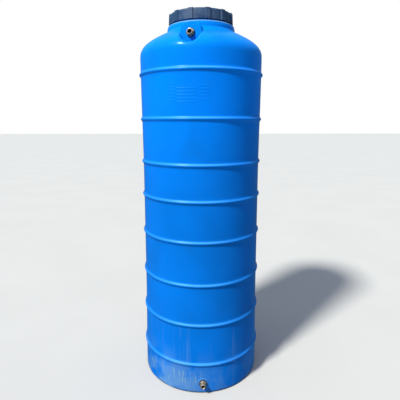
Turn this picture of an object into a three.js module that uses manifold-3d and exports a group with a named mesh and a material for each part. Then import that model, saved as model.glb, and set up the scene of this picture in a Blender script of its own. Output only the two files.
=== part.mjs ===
// Tall cylindrical polyethylene water tank with a screw lid, a breather and two brass connectors.
// Units are millimetres, +Z is up, the origin is the centre of the flat underside,
// and the outlet connector faces -Y.

import * as THREE from 'three';
import { mergeVertices } from 'three/addons/utils/BufferGeometryUtils.js';
import Module from 'manifold-3d';

const wasm = await Module();
wasm.setup();

// Facets round a full turn.
const TANK_FACETS = 40;
const SMALL_FACETS = 20;
// Touching pieces keep this gap.
const GAP = 0.3;
// Cutting and joining solids run this far past the faces they meet.
const OVERRUN = 4;

// Moulded tank.
const WALL = 5;
const WAIST_RADIUS = 303.5;
const FOOT_FLARE = 4;
const FOOT_FLARE_TOP = 520;
const SHOULDER_FLARE = 6;
const SHOULDER_FLARE_START = 1050;
const SHOULDER_HEIGHT = 1660;
const FOOT_CORNER_RADIUS = 8;
const RIB_HEIGHTS = [152, 357, 561, 773, 969, 1141, 1355, 1574];
const RIB_WIDTH = 24;
const RIB_RISE = 7.5;
const RIB_NOSE = 0.25;

// Neck: a collar that stops the lid, then the threaded neck with its open rim.
const COLLAR_RADIUS = 171;
const COLLAR_EDGE_RADIUS = 168;
const COLLAR_START = 1797;
const COLLAR_TOP = 1813;
const NECK_RADIUS = 148;
const NECK_TOP = 1862;

// Two-start screw thread shared by the neck and the lid.
const THREAD_STARTS = 2;
const THREAD_LEAD = 24;
const THREAD_TURNS = 0.75;
const THREAD_RISE = 4;
const THREAD_FOOT_WIDTH = 7;
const THREAD_CREST_WIDTH = 4;
const THREAD_FADE = 0.12;
const THREAD_BOTTOM = 1829;

// Lid.
const LID_BOTTOM = 1820.5;
const LID_TOP = 1871;
const LID_SKIRT_RADIUS = 159.5;
const LID_SKIRT_TOP_RADIUS = 157;
const LID_BORE_RADIUS = 155;
const LID_PLATE = 4;
const LID_RIM_WIDTH = 10;
const LUG_COUNT = 12;
const LUG_RISE = 4.5;
const LUG_FOOT_WIDTH = 30;
const LUG_FACE_WIDTH = 23;
const LUG_TURN = 10;
const GASKET = 3;
const GASKET_RADIUS = 152.5;
const GASKET_BORE_RADIUS = 142;

// Breather in the middle of the lid.
const BREATHER_TUBE_RADIUS = 14;
const BREATHER_BORE_RADIUS = 11;
const BREATHER_FLANGE_RADIUS = 27;
const BREATHER_FLANGE = 3;
const BREATHER_SEAT_HEIGHT = 4;
const BREATHER_TUBE_LENGTH = 24;
const CAP_RADIUS = 24;
const CAP_WALL = 2.5;
const CAP_HEIGHT = 18;
const CAP_WINDOWS = 6;
const CAP_WINDOW_WIDTH = 14;
const CAP_WINDOW_HEIGHT = 5;
const DISC_RADIUS = 15;
const DISC_THICKNESS = 2;
const DISC_LIFT = 3;
const STEM_RADIUS = 2.6;
const GUIDE_RADIUS = 5;
const GUIDE_BORE_RADIUS = 3;
const GUIDE_LENGTH = 5;
const SCREEN_THICKNESS = 1;
const BREATHER_NUT_ACROSS_FLATS = 42;
const BREATHER_NUT = 7;

// Round flat pad that carries the inlet, half proud of the shoulder and half let into it.
const PAD_TURN = -12.5;
const PAD_HEIGHT = 1737;
const PAD_DISTANCE = 248;
const PAD_RADIUS = 50;
const PAD_BACK = 150;
const PAD_DRAFT = 6;
const RECESS_DRAFT = 4;

// Flat seat for the outlet, near the foot.
const OUTLET_HEIGHT = 55;
const OUTLET_DISTANCE = 308.5;
const OUTLET_SEAT_RADIUS = 25;
const OUTLET_WALL = 11;

// Brass connector for a 3/4 inch pipe thread, with its washers and back nut.
const PIPE_RADIUS = 13.2;
const PIPE_BORE_RADIUS = 9;
const PIPE_HOLE_RADIUS = 13.8;
const STUB_LENGTH = 17.5;
const COLLAR_ACROSS_FLATS = 32;
const COLLAR_THICKNESS = 7;
const RUBBER_WASHER = 2.5;
const RUBBER_WASHER_RADIUS = 20;
const SLIP_WASHER = 1.5;
const SLIP_WASHER_RADIUS = 19;
const BACK_NUT_ACROSS_FLATS = 36;
const BACK_NUT = 8;
const THREAD_PAST_NUT = 4;

const FULL_TURN = 2 * Math.PI;
const UPRIGHT = new THREE.Matrix4().makeRotationX(Math.PI / 2);

const blue = { color: 0x0b7be0, roughness: 0.42, metalness: 0 };
const black = { color: 0x23262b, roughness: 0.55, metalness: 0 };
const rubber = { color: 0x1b1b1c, roughness: 0.85, metalness: 0 };
const nylon = { color: 0xd8d6cc, roughness: 0.5, metalness: 0 };
const brass = { color: 0xb8904a, roughness: 0.35, metalness: 1 };
const steel = { color: 0x9a9da0, roughness: 0.4, metalness: 1 };

const degrees = THREE.MathUtils.degToRad;
const point = (radius, height) => new THREE.Vector2(radius, height);

// ---------- solids ----------

function toSolid(geometry) {
  const bare = geometry.clone();
  bare.deleteAttribute('normal');
  bare.deleteAttribute('uv');
  const merged = mergeVertices(bare);
  const index = merged.getIndex().array;
  const triangles = [];
  for (let i = 0; i < index.length; i += 3) {
    const [a, b, c] = [index[i], index[i + 1], index[i + 2]];
    if (a !== b && b !== c && c !== a) triangles.push(a, b, c);
  }
  return new wasm.Manifold(new wasm.Mesh({
    numProp: 3,
    vertProperties: new Float32Array(merged.getAttribute('position').array),
    triVerts: new Uint32Array(triangles),
  }));
}

function toGeometry(solid) {
  const { vertProperties, triVerts, numProp } = solid.getMesh();
  const geometry = new THREE.BufferGeometry();
  geometry.setAttribute('position', new THREE.BufferAttribute(vertProperties, numProp));
  geometry.setIndex(new THREE.BufferAttribute(triVerts, 1));
  geometry.computeVertexNormals();
  return geometry;
}

// Turns an outline of (radius, height) points round the Z axis.
function turned(outline, facets) {
  return new THREE.LatheGeometry(outline, facets).applyMatrix4(UPRIGHT);
}

function ring(outerRadius, innerRadius, low, high, facets) {
  const section = [
    point(innerRadius, low),
    point(outerRadius, low),
    point(outerRadius, high),
    point(innerRadius, high),
    point(innerRadius, low),
  ];
  return turned(section, facets);
}

// A solid bar round the Z axis from height low to height high; it may taper.
function bar(lowRadius, highRadius, low, high, facets) {
  return new THREE.CylinderGeometry(highRadius, lowRadius, high - low, facets)
    .applyMatrix4(UPRIGHT)
    .translate(0, 0, (low + high) / 2);
}

function hexBar(acrossFlats, low, high) {
  const cornerRadius = acrossFlats / 2 / Math.cos(Math.PI / 6);
  return bar(cornerRadius, cornerRadius, low, high, 6);
}

function mesh(name, geometry, finish) {
  const made = new THREE.Mesh(geometry, new THREE.MeshStandardMaterial(finish));
  made.name = name;
  return made;
}

// A frame whose origin is on the tank's axis and whose +Z points outward at the given turn.
function outwardFrame(turn, height) {
  const tilt = new THREE.Group();
  tilt.rotation.x = Math.PI / 2;
  const frame = new THREE.Group();
  frame.rotation.z = degrees(turn);
  frame.position.z = height;
  frame.add(tilt);
  frame.updateMatrixWorld(true);
  return { frame, tilt };
}

const padFrame = outwardFrame(PAD_TURN, PAD_HEIGHT);
const outletFrame = outwardFrame(0, OUTLET_HEIGHT);

// ---------- screw thread ----------

// One start of a thread: a bar bent along a right-hand helix that fades into its wall at both ends.
function threadRidge(wallRadius, rise, startTurn) {
  const steps = TANK_FACETS * THREAD_TURNS;
  const footRadius = wallRadius - Math.sign(rise);
  const ridge = new THREE.BoxGeometry(1, 1, 1, 1, steps, 1);
  const position = ridge.getAttribute('position');
  for (let i = 0; i < position.count; i += 1) {
    const along = position.getY(i) + 0.5;
    const fade = Math.min(1, (along + 0.01) / THREAD_FADE, (1.01 - along) / THREAD_FADE);
    const outward = position.getX(i) > 0;
    const onCrest = outward === rise > 0;
    const crestRadius = footRadius + (rise + Math.sign(rise)) * fade;
    const width = onCrest ? THREAD_CREST_WIDTH : THREAD_FOOT_WIDTH;
    const radius = onCrest ? crestRadius : footRadius;
    const angle = FULL_TURN * (startTurn + along * THREAD_TURNS);
    const height = THREAD_LEAD * along * THREAD_TURNS + position.getZ(i) * width;
    position.setXYZ(i, radius * Math.cos(angle), radius * Math.sin(angle), height);
  }
  return ridge;
}

// The lid's ridges lie midway between the neck's, so each start of one bears on the other.
function addThread(solid, wallRadius, rise, lift) {
  let threaded = solid;
  for (let start = 0; start < THREAD_STARTS; start += 1) {
    const ridge = threadRidge(wallRadius, rise, start / THREAD_STARTS);
    ridge.translate(0, 0, THREAD_BOTTOM + lift);
    threaded = threaded.add(toSolid(ridge));
  }
  return threaded;
}

// ---------- tank ----------

function wallRadius(height) {
  const foot = 1 - THREE.MathUtils.smoothstep(height, 0, FOOT_FLARE_TOP);
  const shoulder = THREE.MathUtils.smoothstep(height, SHOULDER_FLARE_START, SHOULDER_HEIGHT);
  return WAIST_RADIUS + FOOT_FLARE * foot + SHOULDER_FLARE * shoulder;
}

function footCorner(inset, steps) {
  const centreRadius = wallRadius(0) - FOOT_CORNER_RADIUS;
  const cornerRadius = FOOT_CORNER_RADIUS - inset;
  return Array.from({ length: steps + 1 }, (_, i) => {
    const angle = (Math.PI / 2) * (i / steps);
    return point(
      centreRadius + cornerRadius * Math.sin(angle),
      FOOT_CORNER_RADIUS - cornerRadius * Math.cos(angle),
    );
  });
}

// A rib has sloping flanks and a round nose. Its section is part of a hyperbola.
function ribBead(height) {
  const shares = [-1, -0.35, 0, 0.35, 1];
  const depth = Math.hypot(1, RIB_NOSE) - RIB_NOSE;
  return shares.map((share) => {
    const fall = (Math.hypot(share, RIB_NOSE) - RIB_NOSE) / depth;
    return point(
      wallRadius(height) + RIB_RISE * (1 - fall),
      height + RIB_WIDTH / 2 * share,
    );
  });
}

// The dome from the top of the wall to the collar, offset inward by the inset.
function shoulderCurve(inset, domeSteps, throatSteps) {
  const top = wallRadius(SHOULDER_HEIGHT);
  const dome = new THREE.CubicBezierCurve(
    point(top, SHOULDER_HEIGHT),
    point(top, SHOULDER_HEIGHT + 48),
    point(268, 1732),
    point(190, 1771),
  );
  const throatCorner = point(COLLAR_RADIUS, 1780.5);
  const throat = new THREE.CubicBezierCurve(
    point(190, 1771),
    throatCorner,
    throatCorner,
    point(COLLAR_RADIUS, COLLAR_START),
  );
  const offset = (curve, share) => {
    const tangent = curve.getTangent(share);
    const normal = point(tangent.y, -tangent.x);
    return curve.getPoint(share).addScaledVector(normal, -inset);
  };
  const points = [];
  for (let i = 0; i <= domeSteps; i += 1) points.push(offset(dome, i / domeSteps));
  for (let i = 1; i <= throatSteps; i += 1) points.push(offset(throat, i / throatSteps));
  return points;
}

function outerOutline() {
  return [
    point(0, 0),
    ...footCorner(0, 3),
    ...RIB_HEIGHTS.flatMap(ribBead),
    ...shoulderCurve(0, 7, 2),
    point(COLLAR_EDGE_RADIUS + 1, COLLAR_TOP - 2),
    point(COLLAR_EDGE_RADIUS - 1, COLLAR_TOP),
    point(NECK_RADIUS, COLLAR_TOP),
    point(NECK_RADIUS, NECK_TOP - 1),
    point(NECK_RADIUS - 1, NECK_TOP),
    point(0, NECK_TOP),
  ];
}

function innerOutline() {
  const wallHeights = [FOOT_FLARE_TOP / 2, FOOT_FLARE_TOP, SHOULDER_FLARE_START, 1350];
  return [
    point(0, WALL),
    ...footCorner(WALL, 2),
    ...wallHeights.map((height) => point(wallRadius(height) - WALL, height)),
    ...shoulderCurve(WALL, 5, 2),
    point(COLLAR_EDGE_RADIUS - WALL, COLLAR_TOP - WALL),
    point(NECK_RADIUS - WALL, COLLAR_TOP - WALL),
    point(NECK_RADIUS - WALL, NECK_TOP + OVERRUN),
    point(0, NECK_TOP + OVERRUN),
  ];
}

// A tapered plug along a fitting's axis, in the tank's frame.
function plug(place, nearDistance, farDistance, nearRadius, farRadius, facets) {
  const geometry = bar(nearRadius, farRadius, nearDistance, farDistance, facets);
  return toSolid(geometry.applyMatrix4(place.tilt.matrixWorld));
}

function padPlugs(inset) {
  const face = PAD_DISTANCE - inset;
  const widen = (length, draft) => length * Math.tan(degrees(draft));
  const reach = wallRadius(SHOULDER_HEIGHT) + OVERRUN;
  const bossRadius = PAD_RADIUS - inset;
  const recessRadius = PAD_RADIUS + inset;
  const bossFoot = bossRadius + widen(face - PAD_BACK, PAD_DRAFT);
  const recessMouth = recessRadius + widen(reach - face, RECESS_DRAFT);
  return {
    boss: plug(padFrame, PAD_BACK, face, bossFoot, bossRadius, TANK_FACETS),
    recess: plug(padFrame, face, reach, recessRadius, recessMouth, TANK_FACETS),
  };
}

function outletSeat(innerDistance, outerDistance) {
  const radius = OUTLET_SEAT_RADIUS;
  return plug(outletFrame, innerDistance, outerDistance, radius + 2, radius, SMALL_FACETS);
}

function pipeHole(place, distance, depth) {
  const inner = distance - depth - OVERRUN;
  const outer = distance + OVERRUN;
  return plug(place, inner, outer, PIPE_HOLE_RADIUS, PIPE_HOLE_RADIUS, SMALL_FACETS);
}

function tankShell() {
  const outerPad = padPlugs(0);
  const innerPad = padPlugs(WALL);
  const seatInside = OUTLET_DISTANCE - OUTLET_WALL;
  const outer = toSolid(turned(outerOutline(), TANK_FACETS))
    .add(outerPad.boss)
    .subtract(outerPad.recess)
    .add(outletSeat(seatInside, OUTLET_DISTANCE));
  const inner = toSolid(turned(innerOutline(), TANK_FACETS))
    .add(innerPad.boss)
    .subtract(innerPad.recess)
    .subtract(outletSeat(seatInside, OUTLET_DISTANCE + OVERRUN));
  const shell = addThread(outer, NECK_RADIUS, THREAD_RISE, 0)
    .subtract(inner)
    .subtract(pipeHole(padFrame, PAD_DISTANCE, WALL))
    .subtract(pipeHole(outletFrame, OUTLET_DISTANCE, OUTLET_WALL));
  return mesh('tank_shell', toGeometry(shell), blue);
}

// ---------- lid ----------

const gasketBottom = NECK_TOP + GAP;
const plateBottom = gasketBottom + GASKET + GAP;
const plateTop = plateBottom + LID_PLATE;

function lugSolid(turn) {
  const back = LID_BORE_RADIUS + 1;
  const face = LID_SKIRT_RADIUS + LUG_RISE;
  const outline = new THREE.Shape([
    point(-LUG_FOOT_WIDTH / 2, back),
    point(-LUG_FACE_WIDTH / 2, face),
    point(LUG_FACE_WIDTH / 2, face),
    point(LUG_FOOT_WIDTH / 2, back),
  ]);
  const height = LID_TOP - LID_BOTTOM;
  const lug = new THREE.ExtrudeGeometry(outline, { depth: height, bevelEnabled: false });
  const position = lug.getAttribute('position');
  const lean = LID_SKIRT_RADIUS - LID_SKIRT_TOP_RADIUS;
  for (let i = 0; i < position.count; i += 1) {
    const share = position.getZ(i) / height;
    position.setY(i, position.getY(i) - lean * share);
  }
  lug.rotateZ(Math.PI + degrees(turn));
  lug.translate(0, 0, LID_BOTTOM);
  return toSolid(lug);
}

function screwLid() {
  const boreRadius = BREATHER_TUBE_RADIUS + GAP;
  const section = [
    point(boreRadius, plateBottom),
    point(LID_BORE_RADIUS, plateBottom),
    point(LID_BORE_RADIUS, LID_BOTTOM),
    point(LID_SKIRT_RADIUS, LID_BOTTOM),
    point(LID_SKIRT_TOP_RADIUS, LID_TOP - 2),
    point(LID_SKIRT_TOP_RADIUS - 2, LID_TOP),
    point(LID_SKIRT_TOP_RADIUS - LID_RIM_WIDTH, LID_TOP),
    point(LID_SKIRT_TOP_RADIUS - LID_RIM_WIDTH, plateTop),
    point(boreRadius, plateTop),
    point(boreRadius, plateBottom),
  ];
  let lid = toSolid(turned(section, TANK_FACETS));
  for (let i = 0; i < LUG_COUNT; i += 1) lid = lid.add(lugSolid(LUG_TURN + i * 360 / LUG_COUNT));
  const midway = THREAD_LEAD / THREAD_STARTS / 2;
  lid = addThread(lid, LID_BORE_RADIUS, -THREAD_RISE - 0.5, midway);
  return mesh('screw_lid', toGeometry(lid), black);
}

function lidGasket() {
  const top = gasketBottom + GASKET;
  const geometry = ring(GASKET_RADIUS, GASKET_BORE_RADIUS, gasketBottom, top, TANK_FACETS);
  return mesh('lid_gasket', geometry, rubber);
}

// ---------- breather ----------

const flangeBottom = plateTop + GAP;
const flangeTop = flangeBottom + BREATHER_FLANGE;
const seatTop = flangeTop + BREATHER_SEAT_HEIGHT;
const tubeBottom = flangeBottom - BREATHER_TUBE_LENGTH;
const ledgeTop = tubeBottom + 2;
const capBottom = flangeTop + GAP;
const capTop = capBottom + CAP_HEIGHT;
const capRoof = capTop - CAP_WALL;

function breatherBody() {
  const section = [
    point(BREATHER_BORE_RADIUS - 2, tubeBottom),
    point(BREATHER_TUBE_RADIUS, tubeBottom),
    point(BREATHER_TUBE_RADIUS, flangeBottom),
    point(BREATHER_FLANGE_RADIUS, flangeBottom),
    point(BREATHER_FLANGE_RADIUS, flangeTop),
    point(BREATHER_TUBE_RADIUS, flangeTop),
    point(BREATHER_TUBE_RADIUS, seatTop),
    point(BREATHER_BORE_RADIUS, seatTop),
    point(BREATHER_BORE_RADIUS, ledgeTop),
    point(BREATHER_BORE_RADIUS - 2, ledgeTop),
    point(BREATHER_BORE_RADIUS - 2, tubeBottom),
  ];
  return mesh('breather_body', turned(section, SMALL_FACETS), black);
}

function breatherCap() {
  const cupSection = [
    point(0, capRoof),
    point(GUIDE_BORE_RADIUS, capRoof),
    point(GUIDE_BORE_RADIUS, capRoof - GUIDE_LENGTH),
    point(GUIDE_RADIUS, capRoof - GUIDE_LENGTH),
    point(GUIDE_RADIUS, capRoof),
    point(CAP_RADIUS - CAP_WALL, capRoof),
    point(CAP_RADIUS - CAP_WALL, capBottom),
    point(CAP_RADIUS, capBottom),
    point(CAP_RADIUS, capTop - 3),
    point(CAP_RADIUS - 4, capTop),
    point(0, capTop),
  ];
  let cap = toSolid(turned(cupSection, SMALL_FACETS));
  for (let i = 0; i < CAP_WINDOWS; i += 1) {
    const window = new THREE.BoxGeometry(CAP_WINDOW_WIDTH, CAP_WALL + OVERRUN, CAP_WINDOW_HEIGHT);
    window.translate(0, CAP_RADIUS - CAP_WALL / 2, capBottom + 3 + CAP_WINDOW_HEIGHT / 2);
    window.rotateZ(i * FULL_TURN / CAP_WINDOWS);
    cap = cap.subtract(toSolid(window));
  }
  return mesh('breather_cap', toGeometry(cap), black);
}

function breatherDisc() {
  const low = seatTop + GAP;
  const high = low + DISC_THICKNESS;
  const stemTop = capRoof - DISC_LIFT - 2 * GAP;
  const section = [
    point(0, low),
    point(DISC_RADIUS, low),
    point(DISC_RADIUS, high),
    point(STEM_RADIUS, high),
    point(STEM_RADIUS, stemTop),
    point(0, stemTop),
  ];
  return mesh('breather_disc', turned(section, SMALL_FACETS), nylon);
}

function insectScreen() {
  const low = ledgeTop + GAP;
  const high = low + SCREEN_THICKNESS;
  const radius = BREATHER_BORE_RADIUS - GAP;
  let screen = toSolid(bar(radius, radius, low, high, SMALL_FACETS));
  const pitch = 4;
  for (let column = -1; column <= 1; column += 1) {
    for (let row = -1; row <= 1; row += 1) {
      const hole = new THREE.BoxGeometry(pitch / 2, pitch / 2, SCREEN_THICKNESS + OVERRUN);
      hole.translate(column * pitch, row * pitch, low);
      screen = screen.subtract(toSolid(hole));
    }
  }
  return mesh('insect_screen', toGeometry(screen), steel);
}

function hexNut(name, acrossFlats, boreRadius, low, high, finish) {
  const hole = bar(boreRadius, boreRadius, low - OVERRUN, high + OVERRUN, SMALL_FACETS);
  const nut = toSolid(hexBar(acrossFlats, low, high)).subtract(toSolid(hole));
  return mesh(name, toGeometry(nut), finish);
}

function breatherNut() {
  const high = plateBottom - GAP;
  const low = high - BREATHER_NUT;
  const boreRadius = BREATHER_TUBE_RADIUS + GAP;
  return hexNut('breather_nut', BREATHER_NUT_ACROSS_FLATS, boreRadius, low, high, black);
}

// ---------- pipe connectors ----------

// One connector seen along its own axis: height 0 is the wall's outer face, positive is outward.
function connectorPieces(prefix, wallDepth) {
  const outerWasherTop = GAP + RUBBER_WASHER;
  const collarLow = outerWasherTop + GAP;
  const collarHigh = collarLow + COLLAR_THICKNESS;
  const innerWasherLow = -wallDepth - GAP - RUBBER_WASHER;
  const slipHigh = innerWasherLow - GAP;
  const slipLow = slipHigh - SLIP_WASHER;
  const nutHigh = slipLow - GAP;
  const nutLow = nutHigh - BACK_NUT;
  const tubeLow = nutLow - THREAD_PAST_NUT;
  const tubeHigh = collarHigh + STUB_LENGTH;
  const clear = PIPE_RADIUS + GAP;

  const tube = ring(PIPE_RADIUS, PIPE_BORE_RADIUS, tubeLow, tubeHigh, SMALL_FACETS);
  const bore = bar(PIPE_BORE_RADIUS, PIPE_BORE_RADIUS, tubeLow, tubeHigh, SMALL_FACETS);
  const collar = toSolid(hexBar(COLLAR_ACROSS_FLATS, collarLow, collarHigh)).subtract(toSolid(bore));
  const connector = toSolid(tube).add(collar);
  const washer = (low, high, radius) => ring(radius, clear, low, high, SMALL_FACETS);
  return [
    mesh(`${prefix}_connector`, toGeometry(connector), brass),
    mesh(`${prefix}_outer_washer`, washer(GAP, outerWasherTop, RUBBER_WASHER_RADIUS), rubber),
    mesh(`${prefix}_inner_washer`, washer(innerWasherLow, -wallDepth - GAP, RUBBER_WASHER_RADIUS), rubber),
    mesh(`${prefix}_slip_washer`, washer(slipLow, slipHigh, SLIP_WASHER_RADIUS), nylon),
    hexNut(`${prefix}_back_nut`, BACK_NUT_ACROSS_FLATS, clear, nutLow, nutHigh, brass),
  ];
}

function pipeConnector(prefix, place, distance, wallDepth) {
  const pieces = new THREE.Group();
  pieces.position.z = distance;
  pieces.add(...connectorPieces(prefix, wallDepth));
  place.tilt.add(pieces);
  return place.frame;
}

// ---------- assembly ----------

const breather = new THREE.Group();
breather.add(breatherBody(), breatherCap(), breatherDisc(), insectScreen(), breatherNut());

const lid = new THREE.Group();
lid.add(screwLid(), lidGasket(), breather);

const tank = new THREE.Group();
tank.add(
  tankShell(),
  pipeConnector('inlet', padFrame, PAD_DISTANCE, WALL),
  pipeConnector('outlet', outletFrame, OUTLET_DISTANCE, OUTLET_WALL),
  lid,
);

export default tank;
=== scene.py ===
import math

import bmesh
import bpy
import numpy as np
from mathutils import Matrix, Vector


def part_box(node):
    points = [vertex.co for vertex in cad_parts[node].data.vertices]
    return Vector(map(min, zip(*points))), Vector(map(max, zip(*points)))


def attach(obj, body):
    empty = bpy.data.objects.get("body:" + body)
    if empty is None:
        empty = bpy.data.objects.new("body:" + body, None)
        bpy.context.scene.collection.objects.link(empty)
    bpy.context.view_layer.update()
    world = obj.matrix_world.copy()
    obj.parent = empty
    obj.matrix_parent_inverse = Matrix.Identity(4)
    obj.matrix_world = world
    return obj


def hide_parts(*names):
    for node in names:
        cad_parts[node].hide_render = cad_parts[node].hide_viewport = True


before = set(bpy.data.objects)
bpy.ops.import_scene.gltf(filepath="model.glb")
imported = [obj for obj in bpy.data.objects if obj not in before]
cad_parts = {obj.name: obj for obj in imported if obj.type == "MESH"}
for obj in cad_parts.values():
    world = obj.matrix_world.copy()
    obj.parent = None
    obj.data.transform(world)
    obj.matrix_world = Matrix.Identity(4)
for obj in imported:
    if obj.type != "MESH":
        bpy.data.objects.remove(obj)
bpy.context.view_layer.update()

# Shapes are worked out in millimetres and written to the meshes in metres.
MM = 0.001
FULL_TURN = 2 * math.pi

# ---------- sizes, in millimetres ----------

# Touching pieces keep this gap.
GAP = 0.3

WALL = 5
RIB_HEIGHTS = [152, 357, 561, 773, 969, 1141, 1355, 1574]
RIB_WIDTH = 24
RIB_RISE = 7.5
RIB_FILLET = 4
RIB_NOSE = 0.25
WAIST_RADIUS = 303.5
FOOT_FLARE = 4
FOOT_FLARE_TOP = 520
SHOULDER_FLARE = 6
SHOULDER_FLARE_START = 1050
SHOULDER_HEIGHT = 1660
FOOT_CORNER_RADIUS = 8
FOOT_HOLLOW_RISE = 3

COLLAR_RADIUS = 171
COLLAR_EDGE_RADIUS = 168
COLLAR_START = 1797
COLLAR_TOP = 1813
NECK_RADIUS = 148
NECK_TOP = 1862

# The screw thread shared by the neck and the lid, with a start at each of these shares of a turn.
THREAD_STARTS = (0, 0.5)
THREAD_LEAD = 24
THREAD_TURNS = 0.75
THREAD_RISE = 4
THREAD_FOOT_WIDTH = 7
THREAD_CREST_WIDTH = 4
THREAD_BOTTOM = 1829
# Any thread's ridge is rooted this deep in its wall, and keeps this share of its rise at its ends.
RIDGE_ROOT = 0.8
RIDGE_END_RISE = 0.1

LID_BOTTOM = 1820.5
LID_TOP = 1871
LID_SKIRT_RADIUS = 158.7
LID_LEAN = 2.5
LID_BORE_RADIUS = 155
LID_LIP_RADIUS = 161.3
LID_RIM_WIDTH = 10
LID_PLATE_DROP = 1.4
LID_PLATE = 4
LID_HOLE_RADIUS = 15
LID_THREAD_EXTRA = 0.5
GASKET_BORE_RADIUS = 142
LUG_COUNT = 12
LUG_FACE_DISTANCE = 164
LUG_FACE_WIDTH = 23
LUG_SIDE_SLOPE = 0.4375
LUG_TURN = 10

PAD_TURN = -12.5
PAD_HEIGHT = 1737
PAD_DISTANCE = 248
PAD_RADIUS = 50
PAD_DRAFT = 6
RECESS_DRAFT = 4
OUTLET_HEIGHT = 55
OUTLET_DISTANCE = 308.5
OUTLET_SEAT_RADIUS = 25
OUTLET_WALL = 11
SEAT_DRAFT = 35
PIPE_HOLE_RADIUS = 13.8
PIP_COUNT = 8
PIP_CIRCLE = 33
PIP_RADIUS = 3.2
PIP_COLUMNS = 12

# A field of plain raised bars: each stack is (sideways, up, number of bars, width).
RELIEF_HEIGHT = 1472
RELIEF_TURN = -14.5
RELIEF_STACKS = ((-72, 40, 6, 42), (0, 18, 5, 96), (84, 30, 5, 42))
RELIEF_PITCH = 15
RELIEF_BAR_HEIGHT = 8
RELIEF_RISE = 0.6
RELIEF_SUNK = 0.5
RELIEF_EDGE = 2.2

PIPE_RADIUS = 13.2
PIPE_BORE_RADIUS = 9
PIPE_THREAD_PITCH = 1.814
PIPE_THREAD_DEPTH = 1.1
STUB_LENGTH = 17.5
HEX_COLLAR = 32
HEX_COLLAR_THICKNESS = 7
RUBBER_WASHER = 2.5
RUBBER_WASHER_RADIUS = 19.6
SLIP_WASHER = 1.5
SLIP_WASHER_RADIUS = 18.9
BACK_NUT = 36
BACK_NUT_THICKNESS = 8
THREAD_PAST_NUT = 4

BREATHER_NUT = 42
BREATHER_TUBE_RADIUS = 14
BREATHER_BORE_RADIUS = 11
BREATHER_FLANGE = 3
CAP_WALL = 2.5
CAP_WINDOWS = 6
CAP_WINDOW_HEIGHT = 5

# A hexagon's chamfer starts at this share of its half width, and falls by this slope.
HEX_FLAT_SHARE = 0.955
HEX_CHAMFER_SLOPE = 0.5
HEX_CUT_SHARE = 0.95

# The column pitch divides the angle between inlet and outlet, so both lie on a column.
TANK_COLUMNS = 144
SMALL_COLUMNS = 96
# Rings of faces between a boss's edge and the tank's own grid.
BLEND_RINGS = 9


def box_mm(node):
    low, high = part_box(node)
    return low / MM, high / MM


# ---------- mesh tools ----------


def smoothstep(value, low, high):
    share = np.clip((np.asarray(value, float) - low) / (high - low), 0, 1)
    return share * share * (3 - 2 * share)


def soften(points, closed=False, steps=4):
    """Rounds the corners of an outline of (radius, height, cut): cut is how far the rounding reaches."""
    count = len(points)
    made = []
    for i, corner in enumerate(points):
        place = np.array(corner[:2], float)
        cut = corner[2] if len(corner) > 2 else 0
        if cut == 0 or (not closed and i in (0, count - 1)):
            made.append(place)
            continue
        before = np.array(points[i - 1][:2], float)
        after = np.array(points[(i + 1) % count][:2], float)
        start = place + (before - place) * (cut / np.linalg.norm(before - place))
        end = place + (after - place) * (cut / np.linalg.norm(after - place))
        for t in np.linspace(0, 1, steps + 1):
            made.append((1 - t) ** 2 * start + 2 * t * (1 - t) * place + t * t * end)
    return made


def flat_ring(inner, outer, low, high, cut):
    return [(inner, low, cut), (outer, low, cut), (outer, high, cut), (inner, high, cut)]


def columns_at(angles, radii, height):
    """One ring of points; angle 0 faces -Y and angles grow towards +X."""
    radii = np.broadcast_to(radii, np.shape(angles))
    heights = np.broadcast_to(height, np.shape(angles))
    return np.stack([radii * np.sin(angles), -radii * np.cos(angles), heights], axis=1)


def ring_faces(rings, columns, closed, first=0):
    faces = []
    last = rings if closed else rings - 1
    for i in range(last):
        low, high = first + i * columns, first + (i + 1) % rings * columns
        for j in range(columns):
            k = (j + 1) % columns
            faces.append((low + j, low + k, high + k, high + j))
    return faces


def bar_faces(sections, corners):
    """The faces of a closed bar that runs through a row of sections with this many corners each."""
    last = (sections - 1) * corners
    faces = [tuple(range(corners - 1, -1, -1)), tuple(range(last, last + corners))]
    for i in range(sections - 1):
        low, high = i * corners, (i + 1) * corners
        for k in range(corners):
            m = (k + 1) % corners
            faces.append((low + k, low + m, high + m, high + k))
    return faces


def join(points, faces, extras):
    """Adds closed shapes, each as (points, faces), to a mesh's points and faces."""
    for more_points, more_faces in extras:
        faces += [tuple(v + len(points) for v in face) for face in more_faces]
        points = np.concatenate([points, more_points])
    return points, faces


def add_object(name, data):
    made = bpy.data.objects.new(name, data)
    bpy.context.scene.collection.objects.link(made)
    return made


def make_object(name, points, faces, material, sharp=40):
    mesh = bpy.data.meshes.new(name)
    mesh.from_pydata((np.asarray(points) * MM).tolist(), [], faces)
    work = bmesh.new()
    work.from_mesh(mesh)
    bmesh.ops.remove_doubles(work, verts=work.verts, dist=1e-6)
    bmesh.ops.dissolve_degenerate(work, edges=work.edges, dist=1e-7)
    bmesh.ops.delete(work, geom=[e for e in work.edges if not e.link_faces], context="EDGES")
    bmesh.ops.delete(work, geom=[v for v in work.verts if not v.link_faces], context="VERTS")
    bmesh.ops.recalc_face_normals(work, faces=work.faces)
    work.to_mesh(mesh)
    work.free()
    mesh.shade_smooth()
    mesh.set_sharp_from_angle(angle=math.radians(sharp))
    mesh.materials.append(material)
    return add_object(name, mesh)


def revolve(name, outline, material, closed=True, columns=SMALL_COLUMNS, reshape=None, extra=()):
    """Turns an outline round the Z axis; reshape(radius, angles) gives a ring's own radii."""
    angles = np.arange(columns) * FULL_TURN / columns
    rings = []
    for radius, height in outline:
        radii = reshape(radius, angles) if reshape else radius
        rings.append(columns_at(angles, radii, height))
    points, faces = join(np.concatenate(rings), ring_faces(len(rings), columns, closed), extra)
    return make_object(name, points, faces, material)


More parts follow.
